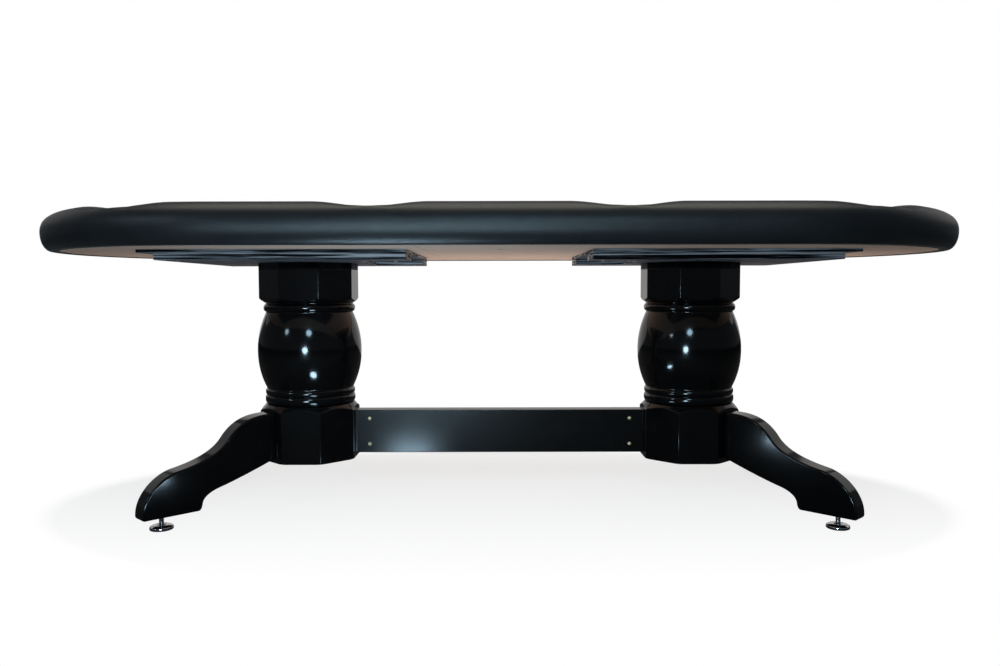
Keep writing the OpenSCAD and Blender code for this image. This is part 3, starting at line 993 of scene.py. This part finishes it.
upper_bottom = upper_low.z
upper_flat = upper_bottom + 0.013
upper_limit = [(0.1185, upper_bottom), (0.119, upper_bottom + 0.002)]
upper_limit += curve((0.119, upper_bottom + 0.002), (0.122, upper_bottom + 0.003),
                     (0.127, upper_bottom + 0.007), (0.132, upper_bottom + 0.010), 12)
upper_limit += [(corner_reach + 0.001, upper_flat + 0.002), (corner_reach + 0.001, upper_high.z)]
upper_heights = spaced(upper_bottom, upper_flat + 0.006, 22)
upper_heights += [upper_flat + 0.03, upper_high.z - 0.02, upper_high.z]


def column_profile():
    """Section of a column: two beads, the barrel and a bead under the upper block."""
    low, high = column_low.z, column_high.z
    widest = floor_of_block + WIDEST_RISE
    barrel_low, barrel_high = floor_of_block + BARREL_RISE, upper_bottom - BARREL_DROP
    waist = WAIST_RADIUS
    points = [(0, low), (waist, low)]
    points += bead(top_of_block + 0.002, floor_of_block + 0.177, 0.118, 0.1224)
    points += bead(floor_of_block + 0.1775, barrel_low - 0.0005, waist, 0.1216)
    for k in range(1, 60):
        z = mix(barrel_low, barrel_high, k / 60)
        reach = widest - barrel_low if z < widest else barrel_high - widest
        power = 2.2 if z < widest else 2.0
        points.append((column_radius - (column_radius - waist) * (abs(z - widest) / reach) ** power, z))
    points += bead(barrel_high, high - 0.001, 0.1175, 0.1244)
    points += [(0.1185, high), (0, high)]
    return points


for hand in HANDS:
    x = side(hand) * pedestal_x
    turned_block(f"lower_block_{hand}_turned", lower_heights, lower_limit, x, f"lower_block_{hand}")
    turned_block(f"upper_block_{hand}_turned", upper_heights, upper_limit, x, f"upper_block_{hand}")
    column = lathe(f"column_{hand}_turned", column_profile(), (x, 0), 160)
    settle(column, "table", "lacquer", LACQUER, f"turned_column_{hand}")


# ---- Legs ----

def leg_outline():
    """Side outline of a leg as (reach, height), from the root's top, along the back to the toe and home."""
    root = block_apothem + 0.0001
    leg_low, leg_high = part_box("leg_front_right")
    sole = leg_low.z
    toe = LEG_REACH
    points = [(root, leg_high.z)]
    points += curve((root, leg_high.z), (0.175, 0.257), (0.224, 0.253), (0.262, 0.200), 16)
    points += curve((0.262, 0.200), (0.286, 0.168), (0.340, 0.151), (0.389, 0.142), 14)
    points += curve((0.389, 0.142), (0.432, 0.135), (toe, 0.092), (toe, 0.040), 16)
    points += curve((toe, 0.040), (toe, 0.036), (toe - 0.002, sole), (toe - 0.006, sole), 4)
    points += [(0.342, sole)]
    points += curve((0.342, sole), (0.335, sole), (0.332, 0.042), (0.331, 0.050), 5)
    points += curve((0.331, 0.050), (0.329, 0.064), (0.310, 0.076), (0.286, 0.082), 10)
    points += curve((0.286, 0.082), (0.240, 0.094), (0.180, 0.114), (root, 0.134), 10)
    return points[::-1]


def leg_frame(row, hand):
    """Turns (reach, height, across) of a leg into a point."""
    angle = math.radians(45) * depth_sign(row)
    turn = side(hand)

    def place(u, v, w):
        x = u * math.cos(angle) - w * math.sin(angle)
        y = u * math.sin(angle) + w * math.cos(angle)
        return turn * (pedestal_x + x), y, v
    return place


for hand in HANDS:
    for row in ROWS:
        leg = slab(f"leg_{row}_{hand}_shaped", leg_outline(), -LEG_THICKNESS / 2, LEG_THICKNESS / 2,
                   leg_frame(row, hand), LEG_ROUNDING)
        settle(leg, "table", "lacquer", LACQUER, f"leg_{row}_{hand}")


# ---- Stretcher ----

beam = block("stretcher_planed", beam_low, beam_high, BEAM_ROUNDING)
settle(beam, "table", "lacquer", SATIN_LACQUER, "stretcher")


# ---- Levelling feet ----

def threaded_stem(name, centre, low, high, radius):
    """A bolt with a helical thread."""
    around, per_turn = 24, 6
    rows = int((high - low) / STEM_PITCH * per_turn)
    points = [(centre[0], centre[1], low)]
    for r in range(rows + 1):
        z = mix(low, high, r / rows)
        for k in range(around):
            phase = (z / STEM_PITCH - k / around) % 1.0
            ridge = abs(phase - 0.5) * 2
            taper = smooth((z - low) / THREAD_TAPER) * smooth((high - z) / THREAD_TAPER)
            reach = radius - THREAD_DEPTH * mix(1.0, ridge, taper)
            a = 2 * math.pi * k / around
            points.append((centre[0] + reach * math.cos(a), centre[1] + reach * math.sin(a), z))
    points.append((centre[0], centre[1], high))
    faces = tube(1, rows + 1, around)
    for k in range(around):
        k2 = (k + 1) % around
        faces.append((0, 1 + k2, 1 + k))
        faces.append((len(points) - 1, 1 + rows * around + k, 1 + rows * around + k2))
    return new_piece(name, points, faces)


def pad_profile(radius, top):
    points = [(0, 0.0004), (radius - 0.005, 0.0004), (radius - 0.004, 0.0), (radius - 0.0016, 0.0),
              (radius - 0.0004, 0.0007), (radius, 0.0016), (radius, 0.0058)]
    points += curve((radius, 0.0058), (radius - 0.001, 0.0094), (0.020, 0.0113), (0.013, 0.0118), 10)
    points += [(0.0108, 0.0121), (0.0100, top), (0.0068, top), (0.0062, top - 0.0006),
               (0.0062, 0.0090), (0, 0.0090)]
    return points


for hand in HANDS:
    for row in ROWS:
        x, y = leg_frame(row, hand)(FOOT_REACH, 0, 0)[:2]
        stem_node, pad_node = f"leveller_stem_{row}_{hand}", f"leveller_pad_{row}_{hand}"
        low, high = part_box(stem_node)
        stem = threaded_stem(stem_node + "_threaded", (x, y), low.z, high.z, (high.x - low.x) / 2)
        settle(stem, f"foot_{row}_{hand}", "chrome", CHROME, stem_node)
        low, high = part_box(pad_node)
        foot = lathe(pad_node + "_pressed", pad_profile((high.x - low.x) / 2, high.z), (x, y), 96)
        settle(foot, f"pad_{row}_{hand}", "chrome", CHROME, pad_node)


# ---- Screws ----

def cross_head(points, faces, place, length, shank):
    """A domed screw with a cross recess; place turns its own (x, y, height above the seat) into a point."""
    around = 32
    rings = [(0.0, 0.0026), (0.0006, 0.00258), (0.0012, 0.0025), (0.0018, 0.0024), (0.0024, 0.0023),
             (0.0032, 0.0020), (0.0040, 0.0016), (0.0048, 0.0010), (0.0053, 0.0005), (HEAD_RADIUS, 0.0002),
             (HEAD_RADIUS, 0.0), (shank, 0.0), (shank, -length + 0.004), (0.0002, -length)]
    start = len(points)
    for r, (radius, height) in enumerate(rings):
        for k in range(around):
            a = 2 * math.pi * k / around
            x, y = max(radius, 0.00005) * math.cos(a), max(radius, 0.00005) * math.sin(a)
            sunk = 0.0
            if r < 7:
                arm = min(abs(x), abs(y))
                sunk = (CROSS_DEPTH * smooth((CROSS_HALF_WIDTH - arm) / CROSS_SLOPE)
                        * smooth((CROSS_ARM - radius) / (2 * CROSS_SLOPE)))
            points.append(place(x, y, height - sunk))
    faces += capped_tube(start, len(rings), around)


def screws(name, places, direction, length, shank, node):
    """A group of screws; direction is 'up' or 'back', the way the shank points."""
    points, faces = [], []
    for px, py, pz in places:
        if direction == "up":
            def place(x, y, h, o=(px, py, pz)):
                return o[0] + x, o[1] - y, o[2] - h
        else:
            def place(x, y, h, o=(px, py, pz)):
                return o[0] + x, o[1] - h, o[2] + y
        cross_head(points, faces, place, length, shank)
    obj = new_piece(name, points, faces)
    modify(obj, "WEIGHTED_NORMAL", keep_sharp=True)
    return settle(obj, "table", "fasteners", ZINC, node)


base_places = [(sx * 0.530, sy * 0.500, base_low.z) for sx in (-1, 1) for sy in (-1, 1)]
base_places += [(0.0, sy * 0.286, base_low.z) for sy in (-1, 1)]
screws("base_screw_heads", base_places, "up", 0.030, 0.002, "base_screws")
board_places = [(sx * px, sy * 0.220, centre_board_low.z) for sx in (-1, 1) for px in (0.260, 0.808)
                for sy in (-1, 1)]
screws("board_screw_heads", board_places, "up", 0.038, 0.002, "board_screws")
screw_x = pedestal_x - block_apothem - 0.041
beam_middle = (beam_low.z + beam_high.z) / 2
beam_places = [(sx * screw_x, beam_low.y, beam_middle + sz * 0.0355) for sx in (-1, 1) for sz in (-1, 1)]
screws("beam_screw_heads", beam_places, "back", 0.031, 0.0025, "stretcher_screws")


# ---- Inner CAD pieces that stay: only their finish ----

def refinish(material, *nodes):
    for node in nodes:
        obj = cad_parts[node]
        obj.data.materials.clear()
        obj.data.materials.append(material)


refinish(PLYWOOD, "rail_board", "rail_edge_strip", "playfield_board",
         "stretcher_tenon_left", "stretcher_tenon_right")
refinish(ZINC, "tie_rod_left", "tie_rod_right", "leveller_inserts", "leg_bolts")


# ---- Stage, light and camera ----

# The floor's painted shade: the oval and the back and front of its painted fade, the painted glow, the paper
# and its painted darker copy
FLOOR_SHADE_SCALE = (1 / 1.27, 1 / 0.72, 1.0)
FLOOR_SHADE_BACK = 0.35
FLOOR_SHADE_FRONT = -0.66
FLOOR_SHADE_EDGE = 0.88
FLOOR_GLOW = 0.72
FLOOR_PAPER = rgba(0.36, 0.36, 0.36)
FLOOR_DULL = rgba(0.11, 0.11, 0.11)
SKY_COLOUR = rgba(0.80, 0.88, 1.0)
SKY_STRENGTH = 0.075


def stage_floor():
    """White paper that shows only a soft shade under the table and no horizon: to the camera the lamp-lit
    paper has a painted glow and fades into plain white through a painted oval and a painted lightening
    towards the front, while reflections and bounced light see a painted darker copy.
    """
    points = [(-20, -20, 0), (20, -20, 0), (20, 20, 0), (-20, 20, 0)]
    floor = new_piece("floor", points, [(0, 1, 2, 3)], False)
    material = bpy.data.materials.new("pale_floor")
    nodes = Nodes(material)
    nodes.tree.nodes.clear()
    add = nodes.add
    place = add("ShaderNodeTexCoord").outputs["Object"]
    oval = add("ShaderNodeVectorMath", {0: place, 1: FLOOR_SHADE_SCALE}, operation="MULTIPLY").outputs[0]
    reach = add("ShaderNodeVectorMath", {0: oval}, operation="LENGTH").outputs["Value"]
    # Painted oval: outside it the shade fades to plain white
    edge = add("ShaderNodeMapRange", {"Value": reach, "From Min": FLOOR_SHADE_EDGE, "From Max": 1.0},
               interpolation_type="SMOOTHSTEP").outputs["Result"]
    parts = add("ShaderNodeSeparateXYZ", {"Vector": place})
    # Painted lightening of the shade from back to front
    nearer = add("ShaderNodeMapRange", {"Value": parts.outputs["Y"], "From Min": FLOOR_SHADE_BACK,
                                        "From Max": FLOOR_SHADE_FRONT}).outputs["Result"]
    faded = add("ShaderNodeMath", {0: edge, 1: nearer}, operation="MAXIMUM").outputs["Value"]
    # Painted darker copy of the paper, seen only in reflections and bounced light
    dull = add("ShaderNodeBsdfDiffuse", {"Color": FLOOR_DULL}).outputs[0]
    paper = add("ShaderNodeBsdfDiffuse", {"Color": FLOOR_PAPER}).outputs[0]
    # Painted glow added to the lamp-lit paper
    glow = add("ShaderNodeEmission", {"Strength": FLOOR_GLOW}).outputs[0]
    white = add("ShaderNodeEmission", {"Strength": 1.0}).outputs[0]
    shaded = add("ShaderNodeAddShader", {0: paper, 1: glow}).outputs[0]
    seen = add("ShaderNodeMixShader", {0: faded, 1: shaded, 2: white}).outputs[0]
    path = add("ShaderNodeLightPath").outputs["Is Camera Ray"]
    chosen = add("ShaderNodeMixShader", {0: path, 1: dull, 2: seen}).outputs[0]
    add("ShaderNodeOutputMaterial", {"Surface": chosen})
    floor.data.materials.append(material)


def sky():
    """A dim room for the shine, and plain white behind the table for the camera."""
    world = bpy.data.worlds.new("studio")
    bpy.context.scene.world = world
    nodes = Nodes(world)
    room = nodes.tree.nodes["Background"]
    nodes.fill(room, {"Color": SKY_COLOUR, "Strength": SKY_STRENGTH})
    path = nodes.add("ShaderNodeLightPath").outputs["Is Camera Ray"]
    white = nodes.add("ShaderNodeBackground", {"Color": rgba(1, 1, 1), "Strength": 1.0})
    chosen = nodes.add("ShaderNodeMixShader", {0: path, 1: room.outputs[0], 2: white.outputs[0]})
    nodes.fill(nodes.tree.nodes["World Output"], {"Surface": chosen.outputs[0]})


def lamp(name, place, target, size, watts, colour, mirrored=True):
    """A soft lamp out of the camera's sight; mirrored says whether glossy faces show it."""
    data = bpy.data.lights.new(name, "AREA")
    data.shape = "ELLIPSE"
    data.size, data.size_y = size
    data.energy = watts
    data.color = colour
    obj = link(name, data)
    obj.location = place
    obj.rotation_mode = "QUATERNION"
    obj.rotation_quaternion = (Vector(target) - Vector(place)).to_track_quat("-Z", "Y")
    obj.visible_camera = False
    obj.visible_glossy = mirrored


sky()
stage_floor()
WINDOW = (0.62, 0.85, 1.0)
PAPER = (1.0, 0.96, 0.92)
lamp("overhead", (0, 0.2, 3.2), (0, 0, 0), (4.6, 2.0), 37, (1.0, 0.95, 0.84))
lamp("front_main", (-0.46, -2.9, 0.38), (-0.30, 0, 0.6), (0.55, 0.42), 24, (0.58, 0.83, 1.0))
lamp("ceiling_near", (-0.02, -2.9, 1.60), (0, 0, 0.6), (0.60, 0.42), 12, (0.50, 0.80, 1.0))
lamp("ceiling_left", (-2.9, -2.6, 1.8), (0, 0, 0.5), (0.5, 0.5), 8, WINDOW)
lamp("floor_spot", (-0.315, -0.63, 0.005), (-0.315, -0.63, 1.0), (0.15, 0.22), 3.0, (0.55, 0.80, 1.0))
lamp("bounce", (0.12, 0.40, 0.02), (0.12, 0.40, 1.0), (2.9, 0.9), 13, PAPER, False)
lamp("side_left", (-4.6, 2.4, 2.6), (0, 0, 0.4), (3.0, 2.4), 5, PAPER)
lamp("side_right", (4.6, 2.4, 2.6), (0, 0, 0.4), (3.0, 2.4), 8, PAPER)
lamp("backdrop", (0, 3.8, 1.3), (0, 0, 0.6), (9.0, 2.6), 28, PAPER)

CAMERA_PLACE = (0.0014, -2.293, 0.590)
CAMERA_LENS = 29.63
CAMERA_PITCH = 3.15
CAMERA_ROLL = -0.10
camera_data = bpy.data.cameras.new("camera")
camera_data.sensor_width = 36.0
camera_data.lens = CAMERA_LENS
camera = link("camera", camera_data)
camera.matrix_world = (Matrix.Translation(CAMERA_PLACE)
                       @ Matrix.Rotation(math.radians(90 - CAMERA_PITCH), 4, "X")
                       @ Matrix.Rotation(math.radians(CAMERA_ROLL), 4, "Z"))
bpy.context.scene.camera = camera
bpy.context.scene.view_settings.view_transform = "Standard"
